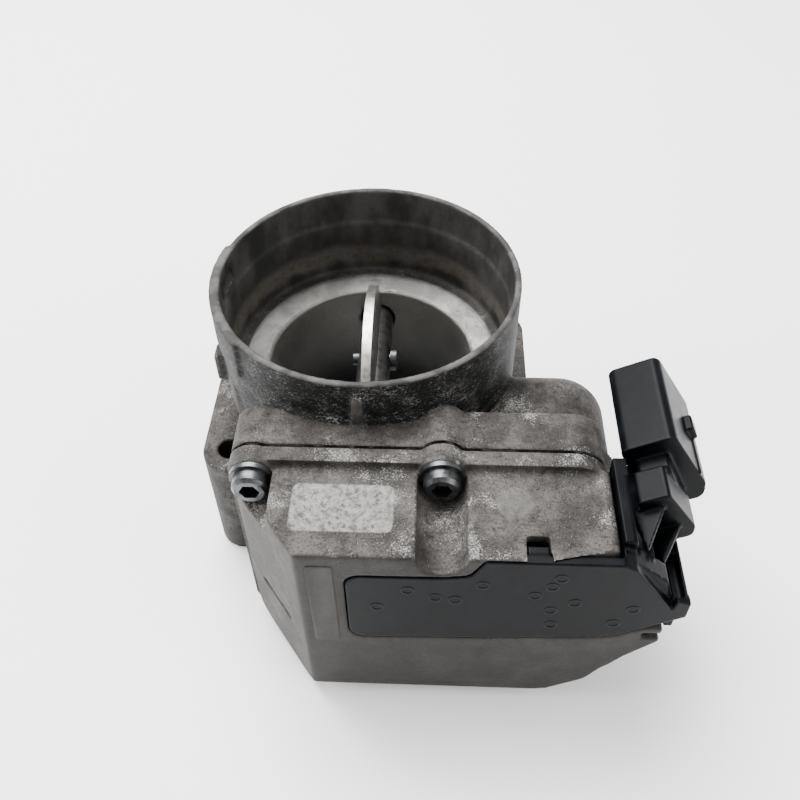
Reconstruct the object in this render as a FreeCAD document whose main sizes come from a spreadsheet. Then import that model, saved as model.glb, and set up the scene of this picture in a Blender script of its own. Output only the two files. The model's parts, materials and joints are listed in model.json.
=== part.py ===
"""Electronic throttle body for a diesel engine, in millimetres.

Frame: the origin is on the bore axis at the manifold mounting face. +Z points up the bore to
the charge-pipe socket, -Y to the gear cover and +X to the electrical connector.
"""
import FreeCAD
import Part
import Sketcher
import math
import os
import re

V = FreeCAD.Vector
DOC = FreeCAD.newDocument("throttle_body")


DIMENSIONS = [
    ("bore_r", 29.0, "throttle bore"),
    ("bore_top", 49.75, "upper end of the throttle bore"),
    ("seat_r", 35.3, "outer edge of the bright seat ring"),
    ("seat_z", 51.5, "height of that edge"),
    ("liner_r", 38.6, "neck wall between the seat and the socket"),
    ("socket_r", 39.2, "charge-pipe socket"),
    ("socket_low", 69.0, "step at the foot of the socket"),
    ("neck_r", 41.0, "outside of the neck"),
    ("neck_foot", 45.0, "underside of the neck"),
    ("neck_top", 80.0, "mouth of the neck"),
    ("band_low", 68.0, "lower edge of the raised band on the neck"),
    ("block_x", 46.3, "half length of the mounting block"),
    ("block_y", 34.0, "half width of the mounting block"),
    ("block_top", 38.0, "height of the mounting block"),
    ("block_corner", 8.0, "corner radius of the mounting block"),
    ("bolt_x", 38.7, "half spacing of the mounting bolts"),
    ("bolt_y", 26.0, "half spacing of the mounting bolts"),
    ("bolt_hole_r", 3.3, "M6 clearance hole"),
    ("blind_top", 14.0, "end of the blind hole under the motor"),
    ("shaft_z", 39.0, "height of the throttle shaft"),
    ("shaft_r", 5.0, "throttle shaft"),
    ("nose_r", 4.0, "front end of the throttle shaft"),
    ("bearing_r", 7.5, "outside of the shaft bearings"),
    ("plate_r", 28.85, "throttle plate"),
    ("plate_t", 2.5, "thickness of the throttle plate"),
    ("plate_screw_y", 10.0, "place of the plate screws along the shaft"),
    ("case_left", -30.7, "left side of the gear case"),
    ("case_right", 60.0, "right side of the gear case at the top"),
    ("case_low", 3.0, "underside of the gear case"),
    ("case_top", 68.0, "top of the gear case"),
    ("plateau", 65.7, "flat top of the cover's body"),
    ("case_wall", 3.6, "wall of the gear case"),
    ("tray_back", -37.0, "back of the gear tray"),
    ("tray_floor", -42.0, "floor of the gear tray"),
    ("parting", -49.0, "front rim of the gear tray"),
    ("gasket_t", 0.7, "cover gasket"),
    ("rim_front", -54.0, "front of the cover's rim"),
    ("step", 1.3, "step from the rim in to the cover's body"),
    ("cover_front", -79.0, "front face of the cover"),
    ("cover_ledge", -76.0, "ledge that the carrier plate lies over"),
    ("cover_inside", -74.5, "inner side of the cover's front wall"),
    ("cover_left", -12.0, "front left edge of the cover"),
    ("screw_left", -24.6, "upper left cover screw"),
    ("screw_high", 63.0, "height of the upper left cover screw"),
    ("screw_mid", 20.6, "upper middle cover screw"),
    ("screw_mid_z", 65.1, "height of the upper middle cover screw"),
    ("screw_right", 64.2, "lower right cover screw"),
    ("screw_right_z", 7.2, "height of the lower right cover screw"),
    ("screw_r", 2.5, "M5 screw"),
    ("screw_seat", -55.2, "face under the screw heads"),
    ("head_r", 4.4, "low cap head of an M5 screw"),
    ("collar_r", 5.4, "washer face of an M5 screw"),
    ("head_front", -60.0, "front of the screw heads"),
    ("boss_r", 5.6, "bump of the rim round a screw"),
    ("channel_r", 5.7, "channel in front of a screw"),
    ("motor_x", 45.0, "motor axis"),
    ("motor_z", 38.0, "motor axis"),
    ("can_r", 16.0, "motor can"),
    ("can_back", -17.0, "back of the motor can"),
    ("motor_case", 20.0, "half width of the motor housing"),
    ("motor_case_back", -9.5, "back of the motor housing"),
    ("motor_case_round", 10.0, "rounding round the back of the motor housing"),
    ("motor_shaft_r", 1.6, "motor shaft"),
    ("idler_x", 25.4, "idler axis"),
    ("idler_z", 26.99, "idler axis"),
    ("pin_r", 2.0, "idler pin"),
    ("slow_module", 1.0, "module of the sector pair"),
    ("fast_module", 0.8, "module of the motor pair"),
    ("sector_teeth", 43, "teeth of the full sector circle"),
    ("idler_small_teeth", 13, "teeth of the idler's small gear"),
    ("idler_large_teeth", 44, "teeth of the idler's large gear"),
    ("pinion_teeth", 12, "teeth of the motor pinion"),
    ("sector_back", -52.0, "back face of the sector"),
    ("sector_front", -59.0, "front face of the sector"),
    ("spring_r", 10.2, "inner radius of the return spring"),
    ("spring_strip", 0.7, "strip thickness of the return spring"),
    ("spring_pitch", 1.7, "pitch of the return spring's turns"),
    ("spring_high", -43.0, "back edge of the return spring"),
    ("spring_low", -50.5, "front edge of the return spring"),
    ("carrier_right", 77.6, "right end of the connector carrier"),
    ("plug_t", 1.6, "wall of the connector shroud"),
    ("fit_gap", 0.05, "radial clearance of a running fit"),
]
NAMES = [name for name, value, note in DIMENSIONS]


def make_sheet():
    """Puts the driving dimensions in a spreadsheet, one alias a row."""
    sheet = DOC.addObject("Spreadsheet::Sheet", "Dims")
    for row, (name, value, note) in enumerate(DIMENSIONS, start=1):
        sheet.set("A%d" % row, name)
        sheet.set("B%d" % row, str(value))
        sheet.set("C%d" % row, note)
        sheet.setAlias("B%d" % row, name)
    DOC.recompute()
    return sheet


SHEET = make_sheet()


def bound(text):
    """Turns the aliases in an expression into references to the sheet."""
    return re.sub(r"[a-z_]+[a-z]", lambda m: "Dims." + m[0] if m[0] in NAMES else m[0], str(text))


def value(text):
    """The number that an expression of the sheet has now."""
    return float(SHEET.evalExpression(bound(text)))


def bind(obj, **expressions):
    for prop, text in expressions.items():
        obj.setExpression(prop, bound(text))


def place(obj, x="0", y="0", z="0", turn=None):
    """Places an object by expressions, turned about an axis by an angle first."""
    if turn:
        obj.Placement = FreeCAD.Placement(V(), FreeCAD.Rotation(*turn))
    for letter, text in (("x", x), ("y", y), ("z", z)):
        obj.setExpression("Placement.Base." + letter, bound(text))
    return obj


ALONG = {"x": (V(0, 1, 0), 90), "y": (V(1, 0, 0), -90), "z": None}


def start_point(axis, start, u, w):
    """Base of a round piece: its start along the axis and its two other coordinates."""
    if axis == "x":
        return {"x": start, "y": u, "z": w}
    if axis == "y":
        return {"x": u, "y": start, "z": w}
    return {"x": u, "y": w, "z": start}


def rod(name, radius, start, end, u="0", w="0", axis="y"):
    """A cylinder from start to end along an axis; u and w are its other two coordinates."""
    obj = DOC.addObject("Part::Cylinder", name)
    bind(obj, Radius=radius, Height="(%s) - (%s)" % (end, start))
    return place(obj, turn=ALONG[axis], **start_point(axis, start, u, w))


def taper(name, first, second, start, end, u="0", w="0", axis="z"):
    """A cone between two radii."""
    obj = DOC.addObject("Part::Cone", name)
    bind(obj, Radius1=first, Radius2=second, Height="(%s) - (%s)" % (end, start))
    return place(obj, turn=ALONG[axis], **start_point(axis, start, u, w))


def box(name, x_span, y_span, z_span):
    """A box between two expressions on each axis."""
    obj = DOC.addObject("Part::Box", name)
    spans = (x_span, y_span, z_span)
    length, width, height = ["(%s) - (%s)" % (high, low) for low, high in spans]
    bind(obj, Length=length, Width=width, Height=height)
    return place(obj, *[low for low, high in spans])


def spoke(name, size, start, angle, x, z):
    """A box along Y whose inner end starts at a radius, turned about the axis at (x, z)."""
    reach, low, high, half = size
    bar = box(name + "Bar", (start, reach), (low, high), ("-(%s)" % half, half))
    turned = DOC.addObject("Part::Compound", name)
    turned.Links = [bar]
    return place(turned, x, "0", z, (V(0, -1, 0), angle))


def fuse(name, parts, refine=True):
    obj = DOC.addObject("Part::MultiFuse", name)
    obj.Shapes = parts
    obj.Refine = refine
    return obj


def common(name, parts):
    obj = DOC.addObject("Part::MultiCommon", name)
    obj.Shapes = parts
    return obj


def cut(name, base, tools, refine=True):
    """Cuts one tool, or several fused, out of a base."""
    tool = tools[0] if len(tools) == 1 else fuse(name + "Tools", tools)
    obj = DOC.addObject("Part::Cut", name)
    obj.Base = base
    obj.Tool = tool
    obj.Refine = refine
    return obj


def tube(name, outer, inner, start, end, u="0", w="0", axis="y"):
    solid = rod(name + "Outer", outer, start, end, u, w, axis)
    hole = rod(name + "Inner", inner, "(%s) - 1" % start, "(%s) + 1" % end, u, w, axis)
    return cut(name, solid, [hole])


PLANES = {"XY": V(0, 0, 1), "XZ": V(0, -1, 0), "YZ": V(1, 0, 0)}


def prism(name, plane, outline, start, length):
    """A body padded from a closed outline of (u, w, corner radius) expressions.

    The pad grows along +Z on XY, along -Y on XZ and along +X on YZ.
    """
    body = DOC.addObject("PartDesign::Body", name)
    sketch = body.newObject("Sketcher::SketchObject", name + "Outline")
    base = [f for f in body.Origin.OriginFeatures if f.Role == plane + "_Plane"][0]
    sketch.AttachmentSupport = [(base, "")]
    sketch.MapMode = "FlatFace"
    sign = "-1 * " if plane == "XZ" else ""
    sketch.setExpression("AttachmentOffset.Base.z", bound("%s(%s)" % (sign, start)))
    corners = [V(value(u), value(w), 0) for u, w, radius in outline]
    count = len(corners)
    for i in range(count):
        sketch.addGeometry(Part.LineSegment(corners[i], corners[(i + 1) % count]), False)
    for i in range(count):
        sketch.addConstraint(Sketcher.Constraint("Coincident", i, 2, (i + 1) % count, 1))
    for i, (u, w, radius) in enumerate(outline):
        for kind, text, now in (("DistanceX", u, corners[i].x), ("DistanceY", w, corners[i].y)):
            index = sketch.addConstraint(Sketcher.Constraint(kind, -1, 1, i, 1, now))
            sketch.setExpression("Constraints[%d]" % index, bound(text))
    pad = body.newObject("PartDesign::Pad", name + "Pad")
    pad.Profile = sketch
    bind(pad, Length=length)
    DOC.recompute()
    round_corners(body, pad, plane, outline)
    return body


def round_corners(body, feature, plane, outline):
    """Fillets the edges that run along the pad at each corner with a radius."""
    for text in sorted({radius for u, w, radius in outline if radius}):
        corners = [(value(u), value(w)) for u, w, radius in outline if radius == text]
        names = []
        for index, edge in enumerate(feature.Shape.Edges, start=1):
            ends = {flat(vertex.Point, plane) for vertex in edge.Vertexes}
            if len(ends) == 1 and any(math.dist(ends.copy().pop(), c) < 0.01 for c in corners):
                names.append("Edge%d" % index)
        fillet = body.newObject("PartDesign::Fillet", body.Name + "Round")
        fillet.Base = (feature, names)
        bind(fillet, Radius=text)
        DOC.recompute()
        feature = fillet


def flat(point, plane):
    """A point's two coordinates in the plane, rounded so that equal ends compare equal."""
    u, w = {"XY": (point.x, point.y), "XZ": (point.x, point.z), "YZ": (point.y, point.z)}[plane]
    return round(u, 4), round(w, 4)


def named(obj, label):
    obj.Label = label
    return obj


# ---------------------------------------------------------------- housing

SCREWS = [
    ("screw_left", "screw_high"),
    ("screw_mid", "screw_mid_z"),
    ("screw_right", "screw_right_z"),
]


def case_outline(inset):
    """The gear case seen from the front, pulled in by an inset."""
    return [
        ("case_left + %s" % inset, "case_low + %s" % inset, "6"),
        ("case_right - 12 - 0.35 * %s" % inset, "case_low + %s" % inset, "5"),
        ("case_right - 1 - 0.9 * %s" % inset, "case_low + 8 + 0.6 * %s" % inset, "5"),
        ("case_right + 7 - %s" % inset, "case_low + 22 + 0.3 * %s" % inset, "6"),
        ("case_right + 7 - %s" % inset, "case_top - 20 - 0.3 * %s" % inset, "6"),
        ("case_right - %s" % inset, "case_top - 10 - 0.3 * %s" % inset, "4"),
        ("case_right - %s" % inset, "case_top - %s" % inset, "8 - %s" % inset),
        ("case_left + %s" % inset, "case_top - %s" % inset, "5"),
    ]


def screw_rods(name, radius, start, end):
    return [rod("%s%d" % (name, i), radius, start, end, x, z) for i, (x, z) in enumerate(SCREWS)]


def right_arm(name, inset, start, end):
    """Joins the lower right screw lobe to the case, which it stands clear of."""
    return rod(name, "boss_r - %s" % inset, start, end, "screw_right - 5", "screw_right_z + 4")


BOLTS = [(1, 1, "block_top + 20"), (-1, 1, "block_top + 20"), (-1, -1, "block_top + 20"),
         (1, -1, "blind_top")]


def make_block():
    """The mounting block with its four bolt columns."""
    corners = [(1, 1), (-1, 1), (-1, -1), (1, -1)]
    outline = [("%d * block_x" % i, "%d * block_y" % j, "block_corner") for i, j in corners]
    return prism("Block", "XY", outline, "0", "block_top")


def make_webs():
    """Ribs that run from the neck down to the four corners of the block."""
    webs = []
    for i, angle in enumerate((34, 146, 214, 326)):
        web = DOC.addObject("Part::Wedge", "Web%d" % i)
        web.Xmin, web.X2min = 30, 30
        web.Ymin, web.Ymax = 0, 24
        web.Zmin, web.Z2min = -3, -3
        web.Xmax, web.X2max = 48, 40.5
        web.Zmax, web.Z2max = 3, 3
        turn = FreeCAD.Rotation(V(0, 0, 1), angle) * FreeCAD.Rotation(V(1, 0, 0), 90)
        web.Placement = FreeCAD.Placement(V(), turn)
        web.setExpression("Placement.Base.z", bound("block_top - 4"))
        webs.append(web)
    return webs


def make_neck_details():
    """The raised band, the lug under it and the seam rib on the neck's outside."""
    band = tube("Band", "neck_r + 1", "neck_r - 1", "band_low", "neck_top", axis="z")
    sector = prism("BandSector", "XY", [("0", "-2", None), ("0", "12", None), ("-60", "12", None),
                                        ("-60", "-52", None)], "band_low - 1", "20")
    lug = box("NeckLug", ("-42.4", "-38"), ("-12", "-6.5"), ("51", "60.2"))
    rib = box("SeamRib", ("-1.6", "1.6"), ("-neck_r - 2.2", "-neck_r + 2"), ("case_top - 4", "neck_top - 3"))
    return [common("BandPiece", [band, sector]), lug, rib]


def make_tray():
    """The shallow tray at the front that holds the gears."""
    outer = fuse("TrayOuter", [prism("TrayBlank", "XZ", case_outline("0"), "tray_back",
                                     "tray_back - parting"),
                               right_arm("TrayArm", "0", "parting", "tray_back")]
                 + screw_rods("TrayBoss", "boss_r", "parting", "tray_back"))
    hollow = prism("TrayHollow", "XZ", case_outline("case_wall"), "tray_floor", "tray_floor - parting + 1")
    posts = screw_rods("TrayPost", "boss_r - 1", "parting - 2", "tray_floor + 1")
    return cut("TrayShell", outer, [cut("TrayRoom", hollow, posts)])


def make_motor_case():
    """The rounded box behind the tray that holds the motor."""
    outline = [("motor_x + %d * motor_case" % i, "motor_z + %d * motor_case" % j, "13")
               for i, j in ((-1, -1), (1, -1), (1, 1), (-1, 1))]
    body = prism("MotorCase", "XZ", outline, "motor_case_back", "motor_case_back - tray_back + 1")
    feature = body.Tip
    back = [i for i, edge in enumerate(feature.Shape.Edges, start=1)
            if all(abs(v.Point.y - value("motor_case_back")) < 0.001 for v in edge.Vertexes)]
    fillet = body.newObject("PartDesign::Fillet", "MotorCaseBackRound")
    fillet.Base = (feature, ["Edge%d" % i for i in back])
    bind(fillet, Radius="motor_case_round")
    return body


def make_throttle_housing():
    """The cast housing: block, neck, gear tray, motor case and bearing bosses in one piece."""
    solids = [
        make_block(),
        rod("NeckOuter", "neck_r", "neck_foot", "neck_top", axis="z"),
        taper("NeckFlare", "block_y", "neck_r", "block_top - 3", "neck_foot", axis="z"),
        make_tray(),
        make_motor_case(),
        rod("RearBoss", "11", "block_y - 4", "block_y + 9", w="shaft_z"),
        rod("FrontBoss", "9", "tray_floor - 3", "tray_floor + 6", w="shaft_z"),
        rod("FrontRoot", "17", "tray_back - 1", "-block_y + 2", w="shaft_z - 6"),
        box("LowBridge", ("-26", "52"), ("tray_back - 1", "-block_y + 2"), ("6", "block_top + 12")),
        rod("IdlerBoss", "4.5", "sector_back + 2.5", "tray_floor + 2", "idler_x", "idler_z"),
        *make_neck_details(),
        *make_webs(),
    ]
    tools = [
        rod("Bore", "bore_r", "-1", "bore_top + 1", axis="z"),
        taper("Seat", "bore_r", "seat_r", "bore_top", "seat_z"),
        rod("Liner", "liner_r", "seat_z", "neck_top + 1", axis="z"),
        rod("Socket", "socket_r", "socket_low", "neck_top + 1", axis="z"),
        rod("ShaftBore", "shaft_r + 0.3", "-50", "block_y + 5", w="shaft_z"),
        rod("FrontBearingBore", "bearing_r", "-50", "-31", w="shaft_z"),
        rod("RearBearingBore", "bearing_r", "31", "block_y + 10", w="shaft_z"),
        rod("MotorBore", "can_r + 0.15", "tray_floor - 1", "can_back + 0.8", "motor_x", "motor_z"),
        rod("MotorNub", "5.2", "can_back - 1", "can_back + 2.6", "motor_x", "motor_z"),
        rod("IdlerHole", "pin_r", "-60", "tray_back - 1", "idler_x", "idler_z"),
        tube("SealGroove", "bore_r + 5.6", "bore_r + 2.6", "-1", "2", axis="z"),
        *screw_rods("TrayThread", "screw_r", "parting - 3", "tray_back - 1.5"),
        *[rod("MountHole%d" % n, "bolt_hole_r", "-1", top, "%d * bolt_x" % i, "%d * bolt_y" % j, axis="z")
          for n, (i, j, top) in enumerate(BOLTS)],
        *[rod("BoltSeat%d" % n, "6.6", "block_top", "block_top + 20", "%d * bolt_x" % i, "%d * bolt_y" % j,
              axis="z")
          for n, (i, j, top) in enumerate(BOLTS[:3])],
        *[rod("MotorThread%d" % k, "1.5", "tray_floor - 1", "tray_floor + 7", "motor_x",
              "motor_z + %d * 19" % k) for k in (-1, 1)],
        box("NeckWindow", ("-40.4", "-37.5"), ("-3", "9"), ("70", "76.5")),
    ]
    return named(cut("Housing", fuse("HousingSolid", solids, False), tools), "throttle_housing")


# ---------------------------------------------------------------- cover and its pieces

def lower_right(inset):
    """The points of the cover's diagonal lower right side, from the bottom up."""
    return [
        ("case_right - 12 - 0.35 * %s" % inset, "case_low + step + %s" % inset, "5"),
        ("case_right - 1.4 - 0.9 * %s" % inset, "case_low + 8.6 + 0.6 * %s" % inset, "5"),
        ("case_right + 6 - %s" % inset, "case_low + 22 + 0.3 * %s" % inset, "6"),
    ]


def cover_outline(inset):
    """The cover's body in front view; its slanted left side is cut afterwards."""
    return [
        ("case_left + step + %s" % inset, "case_low + step + %s" % inset, "4"),
        *lower_right(inset),
        ("case_right + 6 - %s" % inset, "case_top - 21 - 0.3 * %s" % inset, "6"),
        ("case_right - %s" % inset, "case_top - 12 - 0.3 * %s" % inset, "4"),
        ("case_right - %s" % inset, "plateau - %s" % inset, "2"),
        ("case_left + step + %s" % inset, "plateau - %s" % inset, "4"),
    ]


def slanted_block(name, inset):
    """Everything right of the slanted left side, which leans from the rim to the front edge."""
    left = "case_left + step + %s" % inset
    return prism(name, "XY", [
        (left, "parting + 2", None),
        (left, "rim_front - 1.5", None),
        ("cover_left + 1.1 * %s" % inset, "cover_front", None),
        ("cover_left + 1.1 * %s" % inset, "cover_front - 1", None),
        ("case_right + 20", "cover_front - 1", None),
        ("case_right + 20", "parting + 2", None),
    ], "-5", "90")


def carrier_outline(gap):
    """The black carrier plate in front view, grown by a gap."""
    return [
        ("-1 - %s" % gap, "31 - %s" % gap, "4"),
        ("31", "32 - %s" % gap, None),
        ("62", "34.3 - %s" % gap, "14"),
        ("carrier_right + %s" % gap, "44.6 - %s" % gap, None),
        ("carrier_right + %s" % gap, "50.4 + %s" % gap, None),
        ("74.3", "51.4", None),
        ("73.9", "47.4", None),
        ("63.2", "63.6", None),
        ("case_right + 0.4", "65.3", None),
        ("30.4 - %s" % gap, "65.3", None),
        ("27.4 - %s" % gap, "59.3 + %s" % gap, "3"),
        ("21", "58.2 + %s" % gap, None),
        ("-1 - %s" % gap, "58 + %s" % gap, "4"),
    ]


def make_gear_cover():
    """The deep cast cover: rim, body with a slanted side, screw channels and carrier window."""
    rim_back = "parting - gasket_t"
    rim = fuse("CoverRim", [prism("RimBlank", "XZ", case_outline("0"), rim_back, rim_back + " - rim_front"),
                            right_arm("RimArm", "0", "rim_front", rim_back)]
               + screw_rods("RimBoss", "boss_r", "screw_seat", rim_back))
    body = common("CoverBody", [
        prism("CoverBlank", "XZ", cover_outline("0"), "rim_front + 1", "rim_front + 1 - cover_front"),
        slanted_block("CoverSlant", "0"),
    ])
    shelf = prism("CoverShelf", "XZ", [("58", "10.9", "3"), ("66.7", "24.5", None), ("73.6", "32.6", None),
                                       ("73.6", "38.6", None), ("58", "38.6",
                                                                None)], "-62", "-62 - cover_front")
    room = common("CoverRoom", [
        prism("RoomBlank", "XZ", cover_outline("2.6"), "parting + 1", "parting + 1 - cover_inside"),
        slanted_block("RoomSlant", "3.4"),
    ])
    walls = screw_rods("ChannelWall", "channel_r + 2.2", "cover_front", "parting + 2")
    hollow = cut("CoverHollow", room, walls)
    tools = [
        hollow,
        *screw_rods("Channel", "channel_r", "cover_front - 1", "screw_seat"),
        *screw_rods("CoverScrewHole", "screw_r + 0.25", "screw_seat - 1", "parting + 1"),
        prism("CarrierRecess", "XZ", carrier_outline("0.35"), "cover_ledge", "cover_ledge - cover_front + 1"),
        prism("RightStep", "XZ", [("case_right - 3", "48", None), ("90", "48", None), ("90", "65.3", None),
                                  ("case_right - 3", "65.3", None)], "cover_ledge", "4"),
        prism("CarrierWindow", "XZ", [("2.5", "35", "4"), ("case_right - 8", "38", "4"),
                                      ("case_right - 8", "55", "4"), ("2.5", "55", "4")], "-70", "8"),
        prism("TopNotch", "XZ", [("39.3", "61", None), ("44.5", "61", None), ("44.5", "70", None),
                                 ("39.3", "70", None)], "-72", "8"),
        prism("SideSlot", "XY", [("-24", "-60.1", None), ("-15.6", "-71.4", None), ("-18.5", "-74", None),
                                 ("-27.5", "-62", None)], "26.2", "1.7"),
        box("ShelfRecess", ("69", "74"), ("-80", "-70"), ("34", "36.4")),
        prism("CornerBevel", "XY", [("44", "-79.1", None), ("case_right + 0.4", "-75", None),
                                    ("case_right + 0.4", "-80", None), ("44", "-80", None)], "60", "10"),
    ]
    post = rod("IdlerPost", "4.2", "cover_inside - 0.5", "-68.4", "idler_x", "idler_z")
    solid = fuse("CoverSolid", [rim, body, shelf], False)
    pin_hole = rod("IdlerPinHole", "pin_r + fit_gap", "-71", "-60", "idler_x", "idler_z")
    return named(fuse("Cover", [cut("CoverShell", solid, tools), cut("CoverPost", post, [pin_hole])]),
                 "gear_cover")


def make_cover_gasket():
    sheet = fuse("GasketSheet", [prism("GasketBlank", "XZ", case_outline("0.2"), "parting", "gasket_t"),
                                 right_arm("GasketArm", "0.2", "parting - gasket_t", "parting")]
                 + screw_rods("GasketLobe", "boss_r - 0.2", "parting - gasket_t", "parting"))
    room = prism("GasketRoom", "XZ", case_outline("case_wall - 0.4"), "parting + 1", "gasket_t + 2")
    posts = screw_rods("GasketPost", "boss_r - 1", "parting - 3", "parting + 3")
    holes = screw_rods("GasketHole", "screw_r + 0.3", "parting - 3", "parting + 3")
    return named(cut("Gasket", sheet, [cut("GasketOpen", room, posts), *holes]), "cover_gasket")


def make_cover_screws():
    """The M5 cap screws with a washer face, as one group of separate solids."""
    screws = []
    for i, (x, z) in enumerate(SCREWS):
        solid = fuse("ScrewSolid%d" % i, [
            rod("Shank%d" % i, "screw_r", "screw_seat - 1", "tray_back - 2.5", x, z),
            rod("Collar%d" % i, "collar_r", "screw_seat - 1.2", "screw_seat", x, z),
            rod("Head%d" % i, "head_r", "head_front + 0.9", "screw_seat - 1", x, z),
            taper("HeadRound%d" % i, "head_r - 0.8", "head_r", "head_front", "head_front + 0.9", x, z, "y"),
        ])
        hexagon = DOC.addObject("Part::Prism", "Hex%d" % i)
        hexagon.Polygon = 6
        hexagon.Circumradius = 2.5
        hexagon.Height = 4
        place(hexagon, x, "head_front - 1", z, ALONG["y"])
        screws.append(cut("Screw%d" % i, solid, [hexagon]))
    group = DOC.addObject("Part::Compound", "CoverScrews")
    group.Links = screws
    return named(group, "cover_screws")


PIN_PLACES = [(dx, dz) for dz in (-1, 0, 1) for dx in (-0.5, 0.5)]
PLUG = {"x": "73.15", "z": "61", "tilt": 27.0}
PLUG_BACK, PLUG_FRONT = "-22", "-48.9"


def plug_prism(name, outline, start, end):
    """A bar along Y whose section is rolled by the connector's tilt."""
    body = prism(name, "XZ", outline, end, "(%s) - (%s)" % (end, start))
    return place(body, PLUG["x"], "0", PLUG["z"], (V(0, 1, 0), -PLUG["tilt"]))


def plug_box(name, half_u, half_w, start, end, radius, shift_u="0", shift_w="0"):
    """The same with a rectangular section."""
    outline = [("%s + %d * (%s)" % (shift_u, i, half_u), "%s + %d * (%s)" % (shift_w, j, half_w), radius)
               for i, j in ((-1, -1), (1, -1), (1, 1), (-1, 1))]
    return plug_prism(name, outline, start, end)


def shroud_outline(inset):
    """The connector shroud's section, pulled in by an inset."""
    left, right = "-6.7 + %s" % inset, "6.6 - %s" % inset
    return [(left, "10.8 - %s" % inset, "2.2"), (left, "-14.6 + %s" % inset, "2.2"),
            ("7 - %s" % inset, "-14.6 + %s" % inset, "3.5"), ("8.7 - %s" % inset, "-9.5", "3"),
            (right, "10.8 - %s" % inset, "2.2")]


def connector_pin_boxes():
    """Six flat contacts in two rows inside the shroud."""
    return [plug_box("Contact%d" % n, "0.35", "0.6", "-52", "-31", None, "%s * 4.4" % dx, "%s * 5.6 - 2" % dz)
            for n, (dx, dz) in enumerate(PIN_PLACES)]


def make_connector_carrier():
    """The moulded carrier: front plate, side wall, ribs and the connector shroud facing back."""
    plate = prism("CarrierPlate", "XZ", carrier_outline("0"), "cover_ledge - 0.6",
                  "cover_ledge - 0.6 - cover_front")
    inner = prism("CarrierInner", "XZ", [("3", "35.5", "4"), ("case_right - 8.5", "38.5", "4"),
                                         ("case_right - 8.5", "54.5", "4"), ("3", "54.5", "4")], "-73.6", "4")
    bridge = prism("CarrierBridge", "XZ", [("case_right + 0.5", "55.6", None), ("66.8", "49", None),
                                           ("73.6", "47.8", None), ("71.6", "56.2", None), ("63.2", "63.6",
                                                                                            None),
                                           ("case_right + 0.5", "65.3", None)], "-72", "5")
    side = prism("CarrierSide", "XZ", [("case_right + 0.5", "55.6", None), ("66.8", "49", None),
                                       ("66.8", "55", None),
                                       ("63.6", "58", None), ("63.6", "67.2", "1"), ("case_right + 0.5",
                                                                                     "67.2", None)],
                 "-54.3", "19.7")
    side_end = prism("SideEnd", "XZ", [("case_right + 0.5", "58", None), ("63.6", "58", None),
                                       ("63.6", "67.2", None),
                                       ("case_right + 0.5", "67.2", None)], "-50.2", "5")
    floor = prism("CarrierFloor", "XZ", [("66", "44.6", None), ("carrier_right - 0.4", "44.8", "2"),
                                         ("carrier_right - 0.4", "51.2", "0.8"), ("73.4", "51.2", "0.8"),
                                         ("73.4", "47.4", None), ("66", "50.5", None)], "-55.5", "22")
    panel = box("SidePanel", ("63.5", "68.2"), ("-73.5", "-47.6"), ("55", "60.8"))
    notch_tab = box("NotchTab", ("39.6", "44.2"), ("-78.4", "-74.2"), ("61.3", "65.1"))
    tab = box("CarrierTab", ("73.9", "76"), ("-77.4", "-72"), ("37.6", "45"))
    root = plug_prism("Root", [("-5.3", "8", "1"), ("-5.3", "-9.6", "2"), ("3", "-9.6", "2.4"),
                               ("4.4", "-6.5", "2"),
                               ("2.3", "8", "1")], "-62.6", "-53.6")
    neck = plug_box("RootNeck", "3.9", "8.2", "-55", "-48", "1", "-0.4", "-1.6")
    foot = prism("RootFoot", "XZ", [("66", "50", None), ("77.2", "50", None), ("76", "54", None),
                                    ("66", "58", None)],
                 "-55", "7.6")
    shroud = plug_prism("Shroud", shroud_outline("0"), PLUG_FRONT, PLUG_BACK)
    latch = plug_box("Latch", "1.8", "2.3", "-38", "-33.5", "0.5", "8", "-3.2")
    ridge = plug_box("LatchRidge", "0.4", "0.5", PLUG_FRONT, "-37", None, "8.3", "-5")
    room = plug_prism("ShroudRoom", shroud_outline("plug_t"), "-46", "-21")
    ribs = []
    for n, (level, left, right, tip) in enumerate((("3.6", "-7.4", "0.4", "-73.2"),
                                                   ("-4.8", "-6", "1.9", "-71.8"))):
        rib = prism("Gusset%d" % n, "XY", [(left, "-62", None), (right, "-62", None),
                                           ("%s + 2" % left, tip, None)], level, "1.3")
        ribs.append(place(rib, PLUG["x"], "0", PLUG["z"], (V(0, 1, 0), -PLUG["tilt"])))
    slot = box("BaseSlot", ("73.9", "76.3"), ("-77.6", "-66"), ("48.6", "53"))
    solid = fuse("CarrierSolid", [plate, inner, bridge, side, side_end, floor, tab, root, neck, foot, shroud,
                                  latch, ridge, panel, notch_tab, *ribs], False)
    return solid, [room, slot]


def make_carrier_and_pins():
    solid, tools = make_connector_carrier()
    pins = DOC.addObject("Part::Compound", "Pins")
    pins.Links = connector_pin_boxes()
    blind = DOC.addObject("Part::Compound", "PinHoles")
    blind.Links = pins.Links
    carrier = cut("Carrier", cut("CarrierOpen", solid, tools), [blind])
    return [named(carrier, "connector_carrier"), named(pins, "connector_pins")]


def make_carrier_seal():
    """The bead between the carrier plate and the cover's ledge, round the window."""
    outer = prism("BeadOuter", "XZ", [("0.9", "33.4", "5"), ("case_right - 6.5", "36.6", "5"),
                                      ("case_right - 6.5", "56.4", "5"), ("0.9", "56.4",
                                                                          "5")], "cover_ledge", "0.6")
    inner = prism("BeadInner", "XZ", [("2.6", "35.1", "4"), ("case_right - 8.1", "38.1", "4"),
                                      ("case_right - 8.1", "54.9", "4"), ("2.6", "54.9",
                                                                          "4")], "cover_ledge + 1", "3")
    return named(cut("Bead", outer, [inner]), "carrier_seal")


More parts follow.
